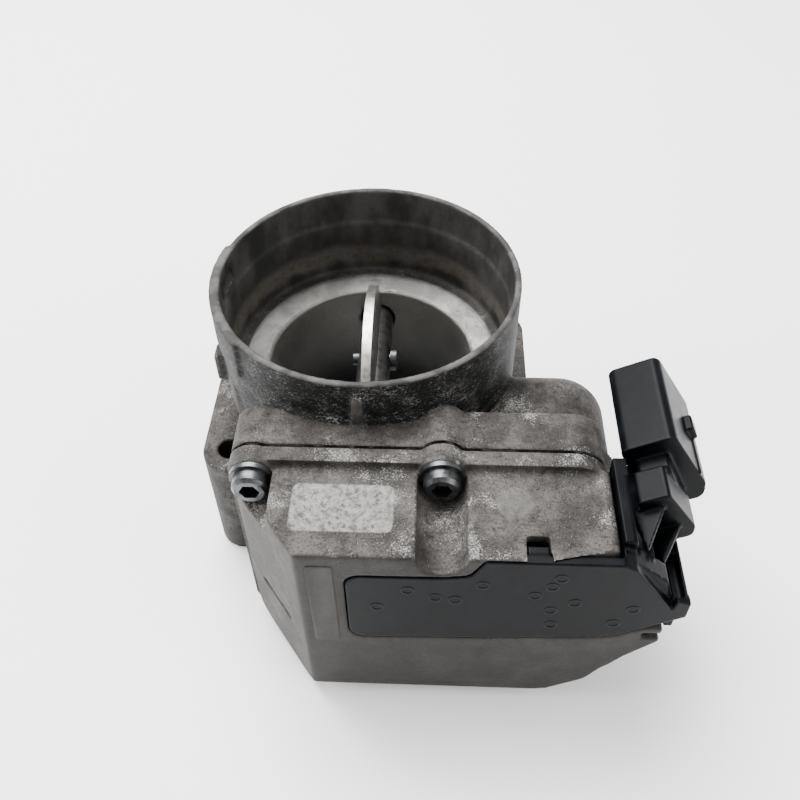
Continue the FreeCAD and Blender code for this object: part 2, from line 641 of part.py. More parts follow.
def make_sensor_board():
    board = prism("Board", "XZ", [("-6", "33", "2"), ("case_right - 9.5", "33", "2"),
                                  ("case_right - 9.5", "56", "2"),
                                  ("22", "56", None), ("14", "52.5", None), ("-6", "52.5",
                                                                             "2")], "-72", "1.6")
    return named(cut("SensorBoard", board, [rod("BoardHole", "5", "-80", "-60", "idler_x", "idler_z")]),
                 "sensor_board")


def make_board_chips():
    chips = DOC.addObject("Part::Compound", "Chips")
    spots = [("30", "44", "3.5"), ("40", "50", "2.4"), ("24", "50", "1.8"), ("33", "36.5", "2"),
             ("44", "40", "1.6")]
    chips.Links = [box("Chip%d" % i, ("%s - %s" % (x, half), "%s + %s" % (x, half)), ("-72", "-70.9"),
                       ("%s - %s" % (z, half), "%s + %s" % (z, half))) for i, (x, z,
                                                                               half) in enumerate(spots)]
    return named(chips, "board_chips")


def make_housing_trim():
    """Seals, bearings and plug that sit in the housing."""
    return [
        named(tube("ManifoldSeal", "bore_r + 5.5", "bore_r + 2.7", "0", "1.95", axis="z"), "manifold_seal"),
        named(tube("FrontBearing", "bearing_r", "shaft_r + fit_gap", "-39", "-31.2", w="shaft_z"),
              "front_bearing"),
        named(tube("RearBearing", "bearing_r", "shaft_r + fit_gap", "31.2", "39", w="shaft_z"),
              "rear_bearing"),
        named(tube("ShaftSeal", "bearing_r", "shaft_r + fit_gap", "-43.5", "-39.4", w="shaft_z"),
              "shaft_seal"),
        named(rod("RearPlug", "bearing_r", "40.6", "42.2", w="shaft_z"), "rear_plug"),
    ]


# ---------------------------------------------------------------- motor

def at_motor(maker, name, *sizes):
    return maker(name, *sizes, "motor_x", "motor_z")


def make_motor_stator():
    """The parts of the motor that stay with the housing."""
    can = fuse("CanSolid", [at_motor(rod, "CanOuter", "can_r", "tray_floor", "can_back"),
                            at_motor(rod, "CanNub", "4.6", "can_back - 1", "can_back + 2.2")])
    can_room = at_motor(rod, "CanRoom", "can_r - 1.3", "tray_floor - 1", "can_back - 1.3")
    bush_room = at_motor(rod, "CanBushRoom", "3.4", "can_back - 2", "can_back + 1.4")
    ring = at_motor(tube, "MagnetRing", "can_r - 1.3", "can_r - 4.4", "-38", "-19.5")
    gap = box("MagnetGap", ("motor_x - 3.5", "motor_x + 3.5"), ("-40", "-18"),
              ("motor_z - 20", "motor_z + 20"))
    lobes = [rod("PlateLobe%d" % k, "4.4", "tray_floor - 2", "tray_floor", "motor_x", "motor_z + %d * 19" % k)
             for k in (-1, 1)]
    bridge = box("PlateBridge", ("motor_x - 4.4", "motor_x + 4.4"), ("tray_floor - 2", "tray_floor"),
                 ("motor_z - 19", "motor_z + 19"))
    plate = fuse("PlateSolid", [at_motor(rod, "PlateDisc", "can_r", "tray_floor - 2", "tray_floor"), bridge,
                                *lobes])
    plate_holes = [rod("PlateHole%d" % k, "1.6", "-50", "-40", "motor_x",
                       "motor_z + %d * 19" % k) for k in (-1, 1)]
    slots = [box("TerminalSlot%d" % k, ("motor_x + 9.5", "motor_x + 11.5"), ("-50", "-40"),
                 ("motor_z + %d * 7 - 2.6" % k, "motor_z + %d * 7 + 2.6" % k)) for k in (-1, 1)]
    holder = at_motor(tube, "HolderRing", "can_r - 1.4", "5.2", "-41.9", "-38.4")
    windows = [box("BrushWindow%d" % k, ("motor_x + %d * 8.9 - 4.6" % k, "motor_x + %d * 8.9 + 4.6" % k),
                   ("-41.4", "-38.9"),
                   ("motor_z - 2", "motor_z + 2")) for k in (-1, 1)]
    holder_slots = [box("HolderSlot%d" % k, ("motor_x + 9.5", "motor_x + 11.5"), ("-42", "-38"),
                        ("motor_z + %d * 7 - 2.6" % k, "motor_z + %d * 7 + 2.6" % k)) for k in (-1, 1)]
    brushes = DOC.addObject("Part::Compound", "Brushes")
    brushes.Links = [box("Brush%d" % k, ("motor_x + %d * 7.9 - 3.4" % k, "motor_x + %d * 7.9 + 3.4" % k),
                         ("-41.3", "-39"),
                         ("motor_z - 1.9", "motor_z + 1.9")) for k in (-1, 1)]
    terminals = DOC.addObject("Part::Compound", "Terminals")
    terminals.Links = [box("Terminal%d" % k, ("motor_x + 10", "motor_x + 10.8"), ("-71.9", "-39"),
                           ("motor_z + %d * 7 - 2" % k, "motor_z + %d * 7 + 2" % k)) for k in (-1, 1)]
    bushes = DOC.addObject("Part::Compound", "Bushes")
    bushes.Links = [
        at_motor(tube, "RearBush", "3.4", "motor_shaft_r + fit_gap", "can_back - 1.8", "can_back + 1.2"),
        at_motor(tube, "FrontBush", "3.4", "motor_shaft_r + fit_gap", "tray_floor - 4", "tray_floor + 0.2"),
    ]
    screws = DOC.addObject("Part::Compound", "MotorScrews")
    screws.Links = [fuse("MotorScrew%d" % k, [
        rod("MotorShank%d" % k, "1.5", "tray_floor - 3", "tray_floor + 6", "motor_x",
            "motor_z + %d * 19" % k),
        rod("MotorHead%d" % k, "2.9", "tray_floor - 4.2", "tray_floor - 2", "motor_x",
            "motor_z + %d * 19" % k)])
        for k in (-1, 1)]
    return [
        named(cut("Can", can, [can_room, bush_room]), "motor_can"),
        named(cut("Magnets", ring, [gap]), "motor_magnets"),
        named(cut("EndPlate", plate, [at_motor(rod, "PlateBore", "3.4", "-50", "-40"), *plate_holes, *slots]),
              "motor_end_plate"),
        named(cut("BrushHolder", holder, [*windows, *holder_slots]), "brush_holder"),
        named(brushes, "carbon_brushes"),
        named(terminals, "motor_terminals"),
        named(bushes, "motor_bushes"),
        named(screws, "motor_screws"),
        named(at_motor(tube, "WaveWasher", "8.5", "6", "can_back + 0.05", "can_back + 0.7"), "motor_washer"),
    ]


def make_motor_rotor():
    """The parts of the motor that turn."""
    poles = 5
    slots = [spoke("CoreSlot%d" % i, ("12", "-40", "-20", "1.3"), "5.2", i * 360 / poles, "motor_x",
                   "motor_z") for i in range(poles)]
    core = cut("Core", at_motor(tube, "CoreBlank", "can_r - 5", "motor_shaft_r", "-35", "-22.5"), slots)
    windings = DOC.addObject("Part::Compound", "Windings")
    windings.Links = [at_motor(tube, "WindingFront", "9.6", "3.4", "-37", "-35"),
                      at_motor(tube, "WindingRear", "9.6", "3.4", "-22.5", "-20.2")]
    return [
        named(at_motor(rod, "MotorShaft", "motor_shaft_r", "-67.2", "can_back + 0.8"), "motor_shaft"),
        named(core, "armature_core"),
        named(windings, "armature_windings"),
        named(at_motor(tube, "Commutator", "4.4", "motor_shaft_r", "-41.6", "-37.2"), "commutator"),
    ]


# ---------------------------------------------------------------- gears

ADDENDUM = 0.78
DEDENDUM = 1.05
THINNING = 0.05
PRESSURE = math.radians(20)
FLANK_POINTS = 5


def involute_point(base, radius, centre_angle, side, half_tooth, pitch_involute):
    """A flank point at a radius; side is +1 or -1 from the tooth's centre line."""
    ratio = min(1.0, base / radius)
    pressure = math.acos(ratio)
    spread = half_tooth + pitch_involute - (math.tan(pressure) - pressure)
    angle = centre_angle + side * spread
    return V(radius * math.cos(angle), radius * math.sin(angle), 0)


def gear_face(teeth, module, phase):
    """The face of an external involute gear; one tooth is centred on the phase angle."""
    pitch = teeth * module / 2
    base = pitch * math.cos(PRESSURE)
    tip = pitch + ADDENDUM * module
    root = pitch - DEDENDUM * module
    start = max(base, root)
    half_tooth = math.pi / (2 * teeth) - THINNING / pitch
    pitch_involute = math.tan(PRESSURE) - PRESSURE
    edges = []
    previous = None
    first = None
    for tooth in range(teeth):
        centre = phase + 2 * math.pi * tooth / teeth
        radii = [start + (tip - start) * k / (FLANK_POINTS - 1) for k in range(FLANK_POINTS)]
        rising = [involute_point(base, r, centre, -1, half_tooth, pitch_involute) for r in radii]
        falling = [involute_point(base, r, centre, 1, half_tooth, pitch_involute) for r in radii]
        foot_in = V(rising[0]).multiply(root / rising[0].Length)
        foot_out = V(falling[0]).multiply(root / falling[0].Length)
        if previous:
            edges.append(root_arc(previous, foot_in, root))
        else:
            first = foot_in
        flank_in = Part.BSplineCurve()
        flank_in.interpolate(rising)
        flank_out = Part.BSplineCurve()
        flank_out.interpolate(falling[::-1])
        crest = V(tip * math.cos(centre), tip * math.sin(centre), 0)
        if start > root:
            edges.append(Part.makeLine(foot_in, rising[0]))
        edges.append(flank_in.toShape())
        edges.append(Part.Arc(rising[-1], crest, falling[-1]).toShape())
        edges.append(flank_out.toShape())
        if start > root:
            edges.append(Part.makeLine(falling[0], foot_out))
        previous = foot_out
    edges.append(root_arc(previous, first, root))
    return Part.Face(Part.Wire(edges))


def root_arc(begin, end, root):
    middle = (begin + end).normalize().multiply(root)
    return Part.Arc(begin, middle, end).toShape()


def gear_ring(name, teeth, module, phase, start, end, x, z):
    """A toothed disc along Y; the phase is measured in the XZ plane from +X towards +Z."""
    face = gear_face(int(value(teeth)), value(module), phase)
    solid = face.extrude(V(0, 0, value(end) - value(start)))
    solid.rotate(V(), V(1, 0, 0), 90)
    ring = DOC.addObject("Part::Feature", name)
    ring.Shape = solid
    return place(ring, x, end, z)


def line_angle(x_from, z_from, x_to, z_to):
    return math.atan2(value(z_to) - value(z_from), value(x_to) - value(x_from))


def pitch_angle(teeth):
    return 2 * math.pi / value(teeth)


MESH = line_angle("0", "shaft_z", "idler_x", "idler_z")
DRIVE = line_angle("idler_x", "idler_z", "motor_x", "motor_z")


def make_sector_gear():
    """The toothed sector with its hub, arms and stop lug."""
    ring = gear_ring("SectorTeeth", "sector_teeth", "slow_module", MESH, "sector_front", "sector_back", "0",
                     "shaft_z")
    step = pitch_angle("sector_teeth")
    first = MESH + 1.5 * step
    last = MESH - 12.5 * step
    reach = 40
    points = [("0", "shaft_z", None)]
    for angle in (first, (first + last) / 2, last):
        points.append(("%.4f" % (reach * math.cos(angle)), "shaft_z + %.4f" % (reach * math.sin(angle)),
                       None))
    wedge = prism("SectorWedge", "XZ", points, "sector_back + 1", "9")
    window = tube("SectorWindow", "17.6", "11", "sector_front - 1", "sector_back + 1", w="shaft_z")
    arms = [spoke("SectorArm%d" % i, ("18.5", "sector_front", "sector_back", "2.2"), "6", math.degrees(angle),
                  "0", "shaft_z")
            for i, angle in enumerate((first - 0.13, (first + last) / 2, last + 0.13))]
    body = fuse("SectorSolid", [cut("SectorRim", common("SectorPiece", [ring, wedge]), [window]),
                                *arms,
                                rod("SectorHub", "8.5", "-69.4", "sector_back", w="shaft_z")], False)
    return named(cut("Sector", body, [rod("SectorBore", "nose_r", "-90", "-40", w="shaft_z")]), "sector_gear")


def make_idler_gear():
    phase = MESH + math.pi + pitch_angle("idler_small_teeth") / 2
    small = gear_ring("IdlerSmall", "idler_small_teeth", "slow_module", phase, "-61", "-50.6", "idler_x", "idler_z")
    large = gear_ring("IdlerLarge", "idler_large_teeth", "fast_module", DRIVE, "-66", "-61", "idler_x",
                      "idler_z")
    web = [tube("IdlerRelief%d" % k, "14.5", "7.5", start, end, "idler_x", "idler_z")
           for k, (start, end) in enumerate((("-67", "-64.8"), ("-62.2", "-60")))]
    bore = rod("IdlerBore", "pin_r + fit_gap", "-70", "-45", "idler_x", "idler_z")
    return named(cut("Idler", fuse("IdlerSolid", [small, large], False), [*web, bore]), "idler_gear")


def make_motor_pinion():
    phase = DRIVE + math.pi + pitch_angle("pinion_teeth") / 2
    ring = gear_ring("PinionTeeth", "pinion_teeth", "fast_module", phase, "-67", "-60", "motor_x", "motor_z")
    bore = at_motor(rod, "PinionBore", "motor_shaft_r", "-70", "-50")
    return named(cut("Pinion", ring, [bore]), "motor_pinion")


def make_idler_pin():
    return [named(rod("IdlerPin", "pin_r", "-70.8", "tray_back - 1.2", "idler_x", "idler_z"), "idler_pin"),
            named(tube("PinWasher", "4.2", "pin_r + fit_gap", "-67.6", "-66.2", "idler_x", "idler_z"),
                  "idler_washer")]


# ---------------------------------------------------------------- throttle

def make_throttle():
    """The shaft, the plate and what turns with them."""
    shaft_solid = fuse("ShaftSolid", [rod("ShaftMain", "shaft_r", "-51", "39.6", w="shaft_z"),
                                      rod("ShaftNose", "nose_r", "-69.9", "-50", w="shaft_z")])
    slot = box("PlateSlot", ("-plate_t / 2", "plate_t / 2"), ("-28.9", "28.9"),
               ("shaft_z - 9", "shaft_z + 9"))
    shaft_holes = [rod("ShaftHole%d" % k, "2", "-9", "9", "%d * plate_screw_y" % k, "shaft_z",
                       "x") for k in (-1, 1)]
    shaft = cut("Shaft", shaft_solid, [slot, *shaft_holes])
    disc = rod("PlateDisc0", "plate_r", "-plate_t / 2", "plate_t / 2", "0", "shaft_z", "x")
    plate_holes = [rod("PlateScrewHole%d" % k, "2", "-9", "9", "%d * plate_screw_y" % k, "shaft_z",
                       "x") for k in (-1, 1)]
    plate = cut("Plate", disc, plate_holes)
    screws = DOC.addObject("Part::Compound", "PlateScrews")
    screws.Links = [fuse("PlateScrew%d" % k, [
        rod("PlateShank%d" % k, "2", "-6.4", "6", "%d * plate_screw_y" % k, "shaft_z", "x"),
        rod("PlateHead%d" % k, "3.4", "shaft_r", "shaft_r + 1.8", "%d * plate_screw_y" % k, "shaft_z", "x")])
        for k in (-1, 1)]
    wings = [spoke("RotorWing%d" % i, ("11", "-70.8", "-69.9", "2.6"), "2", 120 * i + 30, "0",
                   "shaft_z") for i in range(3)]
    disc = rod("RotorDisc", "5.6", "-70.8", "-69.9", w="shaft_z")
    rotor = cut("Rotor", fuse("RotorSolid", [disc, *wings]),
                [rod("RotorHole", "2", "-80", "-60", w="shaft_z")])
    return [named(shaft, "throttle_shaft"), named(plate, "throttle_plate"), named(screws, "plate_screws"),
            named(rotor, "sensor_rotor")]


def make_return_spring():
    """The flat spiral spring round the front bearing boss, drawn as half circles."""
    inner = value("spring_r")
    strip = value("spring_strip")
    half_pitch = value("spring_pitch") / 2
    turns = 3

    def side(radius):
        ends = [V((-1) ** k * (radius + k * half_pitch), 0, 0) for k in range(2 * turns + 1)]
        arcs = []
        for k in range(2 * turns):
            crown = (ends[k] + ends[k + 1]) / 2 + V(0, 0, (-1) ** k * (ends[k] - ends[k + 1]).Length / 2)
            arcs.append(Part.Arc(ends[k], crown, ends[k + 1]).toShape())
        return ends, arcs

    inside, inner_arcs = side(inner)
    outside, outer_arcs = side(inner + strip)
    caps = [Part.makeLine(inside[0], outside[0]), Part.makeLine(inside[-1], outside[-1])]
    outline = Part.Wire(Part.__sortEdges__(inner_arcs + outer_arcs + caps))
    spring = DOC.addObject("Part::Feature", "Spring")
    spring.Shape = Part.Face(outline).extrude(V(0, value("spring_low") - value("spring_high"), 0))
    return named(place(spring, "0", "spring_high", "shaft_z"), "return_spring")


def main():
    parts = [
        make_throttle_housing(),
        make_gear_cover(),
        make_cover_gasket(),
        make_cover_screws(),
        *make_carrier_and_pins(),
        make_carrier_seal(),
        make_sensor_board(),
        make_board_chips(),
        *make_housing_trim(),
        *make_motor_stator(),
        *make_motor_rotor(),
        make_sector_gear(),
        make_idler_gear(),
        make_motor_pinion(),
        *make_idler_pin(),
        *make_throttle(),
        make_return_spring(),
    ]
    DOC.recompute()
    broken = [obj.Name for obj in DOC.Objects if {"Invalid", "Error"} & set(obj.State)]
    broken += [obj.Label for obj in parts if obj.Shape.isNull() or not obj.Shape.isValid()]
    if broken:
        raise SystemExit("not built: " + ", ".join(broken))
    os.makedirs("parts", exist_ok=True)
    for obj in parts:
        obj.Shape.exportStep("parts/%s.step" % obj.Label)


main()
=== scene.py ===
"""The looks of the throttle body: cast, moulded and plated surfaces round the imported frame."""

import json
import math

import bmesh
import bpy
import numpy
from mathutils import Matrix, Vector


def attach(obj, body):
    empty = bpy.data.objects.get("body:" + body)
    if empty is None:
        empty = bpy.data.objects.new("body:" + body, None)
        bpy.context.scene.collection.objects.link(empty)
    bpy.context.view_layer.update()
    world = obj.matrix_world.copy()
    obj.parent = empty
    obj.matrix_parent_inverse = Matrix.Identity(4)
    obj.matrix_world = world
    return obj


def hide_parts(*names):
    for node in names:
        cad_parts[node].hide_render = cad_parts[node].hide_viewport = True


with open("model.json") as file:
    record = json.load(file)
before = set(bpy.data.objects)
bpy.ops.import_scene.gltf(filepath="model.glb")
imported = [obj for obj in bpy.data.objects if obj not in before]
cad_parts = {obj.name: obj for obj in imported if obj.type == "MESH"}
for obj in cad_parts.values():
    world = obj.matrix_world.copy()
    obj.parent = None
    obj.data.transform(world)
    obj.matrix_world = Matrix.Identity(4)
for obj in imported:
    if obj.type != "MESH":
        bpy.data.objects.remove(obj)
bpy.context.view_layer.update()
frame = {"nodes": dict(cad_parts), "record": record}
NODES = frame["nodes"]
MM = 0.001


# ---------------------------------------------------------------- node helpers

class Shader:
    """A small builder for one procedural material; sizes of its textures are in millimetres."""

    def __init__(self, name):
        self.material = bpy.data.materials.new(name)
        self.material.use_nodes = True
        self.tree = self.material.node_tree
        self.surface = self.tree.nodes["Principled BSDF"]
        coordinates = self.tree.nodes.new("ShaderNodeTexCoord")
        mapping = self.tree.nodes.new("ShaderNodeMapping")
        mapping.inputs["Scale"].default_value = (1 / MM, 1 / MM, 1 / MM)
        self.tree.links.new(coordinates.outputs["Object"], mapping.inputs["Vector"])
        self.place = mapping.outputs["Vector"]
        split = self.tree.nodes.new("ShaderNodeSeparateXYZ")
        self.tree.links.new(self.place, split.inputs["Vector"])
        self.x, self.y, self.z = split.outputs

    def put(self, socket, value):
        """Links a socket, or sets it when the value is a plain number or colour."""
        if isinstance(value, bpy.types.NodeSocket):
            self.tree.links.new(value, socket)
        elif isinstance(value, (tuple, list)) and len(value) == 3 and socket.type == "RGBA":
            socket.default_value = (*value, 1)
        else:
            socket.default_value = value

    def texture(self, kind, size, stretch):
        """A texture node whose features measure about size millimetres, longer along stretch."""
        mapping = self.tree.nodes.new("ShaderNodeMapping")
        mapping.inputs["Scale"].default_value = [1 / (size * share) for share in stretch]
        self.put(mapping.inputs["Vector"], self.place)
        node = self.tree.nodes.new(kind)
        self.put(node.inputs["Vector"], mapping.outputs["Vector"])
        return node

    def noise(self, size, detail=4.0, rough=0.55, stretch=(1, 1, 1), distortion=0.0):
        """Cloudy noise from about 0 to 1."""
        node = self.texture("ShaderNodeTexNoise", size, stretch)
        node.inputs["Scale"].default_value = 1
        node.inputs["Detail"].default_value = detail
        node.inputs["Roughness"].default_value = rough
        node.inputs["Distortion"].default_value = distortion
        return node.outputs["Fac"]

    def cells(self, size, stretch):
        """Distance from the middle of the nearest cell."""
        node = self.texture("ShaderNodeTexVoronoi", size, stretch)
        node.inputs["Scale"].default_value = 1
        return node.outputs["Distance"]

    def calc(self, kind, first, second=0.0, third=0.0):
        """One step of arithmetic, named as Blender names it."""
        node = self.tree.nodes.new("ShaderNodeMath")
        node.operation = kind
        for socket, value in zip(node.inputs, (first, second, third)):
            self.put(socket, value)
        return node.outputs["Value"]

    def fade(self, value, low, high):
        """0 below low, 1 above high and smooth between; low may be the larger."""
        node = self.tree.nodes.new("ShaderNodeMapRange")
        node.interpolation_type = "SMOOTHSTEP"
        self.put(node.inputs["Value"], value)
        start, end = (low, high) if low < high else (high, low)
        node.inputs["From Min"].default_value = start
        node.inputs["From Max"].default_value = end
        node.inputs["To Min"].default_value = 0 if low < high else 1
        node.inputs["To Max"].default_value = 1 if low < high else 0
        return node.outputs["Result"]

    def both(self, *masks):
        """Where all the masks hold."""
        result = masks[0]
        for mask in masks[1:]:
            result = self.calc("MULTIPLY", result, mask)
        return result

    def mix(self, first, second, share):
        """Goes from the first colour to the second as share goes from 0 to 1."""
        node = self.tree.nodes.new("ShaderNodeMix")
        node.data_type = "RGBA"
        self.put(node.inputs["Factor"], share)
        self.put(node.inputs["A"], first)
        self.put(node.inputs["B"], second)
        return node.outputs["Result"]

    def span(self, value, low, high):
        """Maps 0 to 1 onto a range of numbers."""
        return self.calc("MULTIPLY_ADD", value, high - low, low)

    def radius(self, x=0.0, z=None):
        """Distance from the bore axis, or from an axis along Y when z is given."""
        across = self.calc("SUBTRACT", self.x, x)
        other = self.y if z is None else self.calc("SUBTRACT", self.z, z)
        squares = [self.calc("POWER", side, 2.0) for side in (across, other)]
        return self.calc("SQRT", self.calc("ADD", *squares))

    def bump(self, height, depth, below=None):
        """Bump from a 0 to 1 height, depth in millimetres, over another bump if given."""
        node = self.tree.nodes.new("ShaderNodeBump")
        node.inputs["Strength"].default_value = 1
        node.inputs["Distance"].default_value = depth * MM
        self.put(node.inputs["Height"], height)
        if below is not None:
            self.put(node.inputs["Normal"], below)
        return node.outputs["Normal"]

    def upward(self):
        """How far a surface faces up, -1 to 1."""
        geometry = self.tree.nodes.new("ShaderNodeNewGeometry")
        split = self.tree.nodes.new("ShaderNodeSeparateXYZ")
        self.put(split.inputs["Vector"], geometry.outputs["Normal"])
        return split.outputs["Z"]

    def edges(self, low, high):
        """Where the surface turns sharply: convex corners from 0.5 up, hollows from 0.5 down."""
        geometry = self.tree.nodes.new("ShaderNodeNewGeometry")
        return self.fade(geometry.outputs["Pointiness"], low, high)

    def finish(self, colour, roughness, metallic=0.0, normal=None, **others):
        """Sets the shader's sockets and returns the material."""
        self.put(self.surface.inputs["Base Color"], colour)
        self.put(self.surface.inputs["Roughness"], roughness)
        self.put(self.surface.inputs["Metallic"], metallic)
        if normal is not None:
            self.put(self.surface.inputs["Normal"], normal)
        for name, value in others.items():
            self.put(self.surface.inputs[name.replace("_", " ")], value)
        return self.material


# ---------------------------------------------------------------- materials

GREY_DARK = (0.0050, 0.0047, 0.0046)
GREY_MID = (0.0250, 0.0222, 0.0202)
GREY_LIGHT = (0.076, 0.069, 0.0635)
CHALK = (0.36, 0.355, 0.34)
# near-black used as painted shade on the neck's outer wall
SHADE_BLACK = (0.0015, 0.0015, 0.0015)
RUST_BROWN = (0.060, 0.034, 0.016)
BARE = (0.20, 0.195, 0.186)

# radii and heights that bound the housing's differently worn and painted-shade zones, in millimetres
NECK_WALL = 39.8
NECK_RIM = 79.2
SEAT_INNER = 28.6
SEAT_OUTER = 36.0
SEAT_LOW = 49.2
SEAT_HIGH = 52.2
BORE_WALL = 29.6
MOTOR_AXIS = (45.0, 38.0)


def casting_base(shader, chalk_share):
    """Mottled die-cast skin: cloudy greys, dark stains, chalky corrosion specks that are also painted light
    on the tops, and painted shade in its hollows.
    """
    clouds = shader.noise(9, detail=7, rough=0.66)
    colour = shader.mix(GREY_MID, GREY_LIGHT, shader.fade(clouds, 0.38, 0.66))
    grain = shader.noise(0.7, detail=5, rough=0.7)
    colour = shader.mix(colour, GREY_DARK, shader.calc("MULTIPLY", shader.fade(grain, 0.50, 0.36), 0.6))
    stains = shader.noise(3.2, detail=9, rough=0.72, distortion=0.8)
    colour = shader.mix(colour, GREY_DARK, shader.calc("MULTIPLY", shader.fade(stains, 0.50, 0.68), 0.75))
    patches = shader.noise(10, detail=6, rough=0.65)
    specks = shader.noise(0.45, detail=5, rough=0.75)
    raised = shader.fade(patches, 0.64 - chalk_share, 0.86 - chalk_share)
    level = shader.calc("MULTIPLY_ADD", raised, 0.16, specks)
    chalky = shader.fade(level, 0.58, 0.74)
    # chalky specks stronger on up-facing surfaces: real corrosion specks, and partly painted light that
    # brightens the tops
    upward = shader.span(shader.fade(shader.upward(), 0.0, 0.9), 0.3, 1.0)
    colour = shader.mix(colour, CHALK, shader.calc("MULTIPLY", shader.both(chalky, upward), 0.62))
    # painted shade: darker in hollows and creases, where the pointiness is low
    colour = shader.mix(colour, GREY_DARK, shader.calc("MULTIPLY", shader.edges(0.48, 0.42), 0.65))
    colour = shader.mix(colour, CHALK, shader.calc("MULTIPLY", shader.edges(0.53, 0.62), 0.35))
    pits = shader.fade(shader.noise(0.4, detail=3), 0.58, 0.68)
    colour = shader.mix(colour, GREY_DARK, shader.calc("MULTIPLY", pits, 0.5))
    return colour, clouds, specks, pits


def casting_bump(shader, specks, pits):
    """Coarse waves, fine specks and small pits of a casting."""
    coarse = shader.bump(shader.noise(2.2, detail=5, rough=0.6), 0.09)
    fine = shader.bump(specks, 0.10, coarse)
    return shader.bump(shader.calc("SUBTRACT", 1.0, pits), 0.06, fine)


def housing_material():
    """The housing's casting: painted shade round the front of the neck and deep in the bore, sooty inside
    the neck, bright where machined.
    """
    shader = Shader("cast_housing")
    colour, clouds, specks, pits = casting_base(shader, 0.14)
    radius = shader.radius()
    # painted shade: near-black outer wall of the neck, darkest on its front side, with pale scuffs from wear
    outside = shader.both(shader.fade(radius, NECK_WALL, 40.4), shader.fade(radius, 43.2, 42.6),
                          shader.fade(shader.z, 47, 58))
    scuffs = shader.noise(0.55, detail=7, rough=0.85, stretch=(2.2, 2.2, 0.8), distortion=1.5)
    bare_patches = shader.noise(6, detail=4, rough=0.6)
    level = shader.calc("MULTIPLY_ADD", bare_patches, 0.22, scuffs)
    shade_and_scuffs = shader.mix(SHADE_BLACK, CHALK, shader.calc("MULTIPLY", shader.fade(level, 0.64, 0.76), 0.7))
    front_shade = shader.span(shader.fade(shader.y, 6, -26), 0.30, 0.95)
    colour = shader.mix(colour, shade_and_scuffs, shader.both(outside, front_shade))
    # soot and an oily brown band inside the neck
    inside = shader.both(shader.fade(radius, 40.1, 39.6), shader.fade(shader.z, 51.0, 52.2))
    streaks = shader.noise(9, detail=5, rough=0.6, stretch=(1, 1, 2.0))
    oily = shader.mix((0.017, 0.0165, 0.016), (0.050, 0.048, 0.045), shader.fade(streaks, 0.36, 0.70))
    band_edge = shader.calc("ADD", shader.z, shader.span(streaks, -4, 4))
    band = shader.both(shader.fade(band_edge, 53.5, 56), shader.fade(band_edge, 62, 58.5))
    spots = shader.fade(shader.noise(2.4, detail=6, rough=0.7), 0.45, 0.62)
    oily = shader.mix(oily, (0.10, 0.098, 0.09), shader.calc("MULTIPLY", band, 0.6))
    oily = shader.mix(oily, RUST_BROWN, shader.calc("MULTIPLY", shader.both(band, spots), 0.7))
    flecks = shader.fade(shader.noise(1.1, detail=6, rough=0.8), 0.64, 0.74)
    oily = shader.mix(oily, CHALK, shader.calc("MULTIPLY", flecks, 0.22))
    colour = shader.mix(colour, oily, inside)
    # turned seat ring and bore
    seat = shader.both(shader.fade(radius, SEAT_OUTER, 35.4), shader.fade(radius, SEAT_INNER, 28.9),
                       shader.fade(shader.z, SEAT_LOW, 49.6), shader.fade(shader.z, SEAT_HIGH, 51.8))
    bore = shader.both(shader.fade(radius, BORE_WALL, 29.2), shader.fade(shader.z, 50.4, 49.8))
    turned = shader.mix((0.11, 0.106, 0.10), BARE, shader.fade(streaks, 0.38, 0.66))
    colour = shader.mix(colour, turned, seat)
    # painted shade: the bore wall goes from bright at its top to near black deep down
    bore_shade = shader.fade(shader.z, 14, 48)
    colour = shader.mix(colour, shader.mix((0.012, 0.012, 0.012), (0.30, 0.294, 0.28), bore_shade), bore)
    # worn edge of the neck's mouth
    lip = shader.both(shader.fade(shader.z, NECK_RIM, 79.7), shader.fade(radius, 38.5, 39.0))
    worn_lip = shader.mix((0.030, 0.029, 0.028), (0.085, 0.083, 0.078), shader.fade(clouds, 0.42, 0.62))
    colour = shader.mix(colour, worn_lip, lip)
    machined = shader.calc("MAXIMUM", seat, bore)
    rough = shader.calc("SUBTRACT", shader.span(clouds, 0.50, 0.80), shader.calc("MULTIPLY", machined, 0.28))
    metallic = shader.calc("MULTIPLY_ADD", machined, 0.60, 0.25)
    return shader.finish(colour, rough, metallic, casting_bump(shader, specks, pits),
                         Specular_IOR_Level=0.2)


def etched(shader, centre, half, radius):
    """A softly worn rounded rectangle on the cover's flat top."""
    wobble = shader.calc("MULTIPLY", shader.noise(0.8, detail=3), 0.5)
    sides = []
    for place, middle, reach in zip((shader.x, shader.y), centre, half):
        away = shader.calc("ABSOLUTE", shader.calc("SUBTRACT", place, middle))
        past = shader.calc("MAXIMUM", shader.calc("SUBTRACT", away, reach - radius), 0.0)
        sides.append(shader.calc("POWER", past, 2.0))
    reach = shader.calc("ADD", shader.calc("SQRT", shader.calc("ADD", *sides)), wobble)
    return shader.both(shader.fade(reach, radius + 0.5, radius), shader.fade(shader.z, 64.6, 65.2))


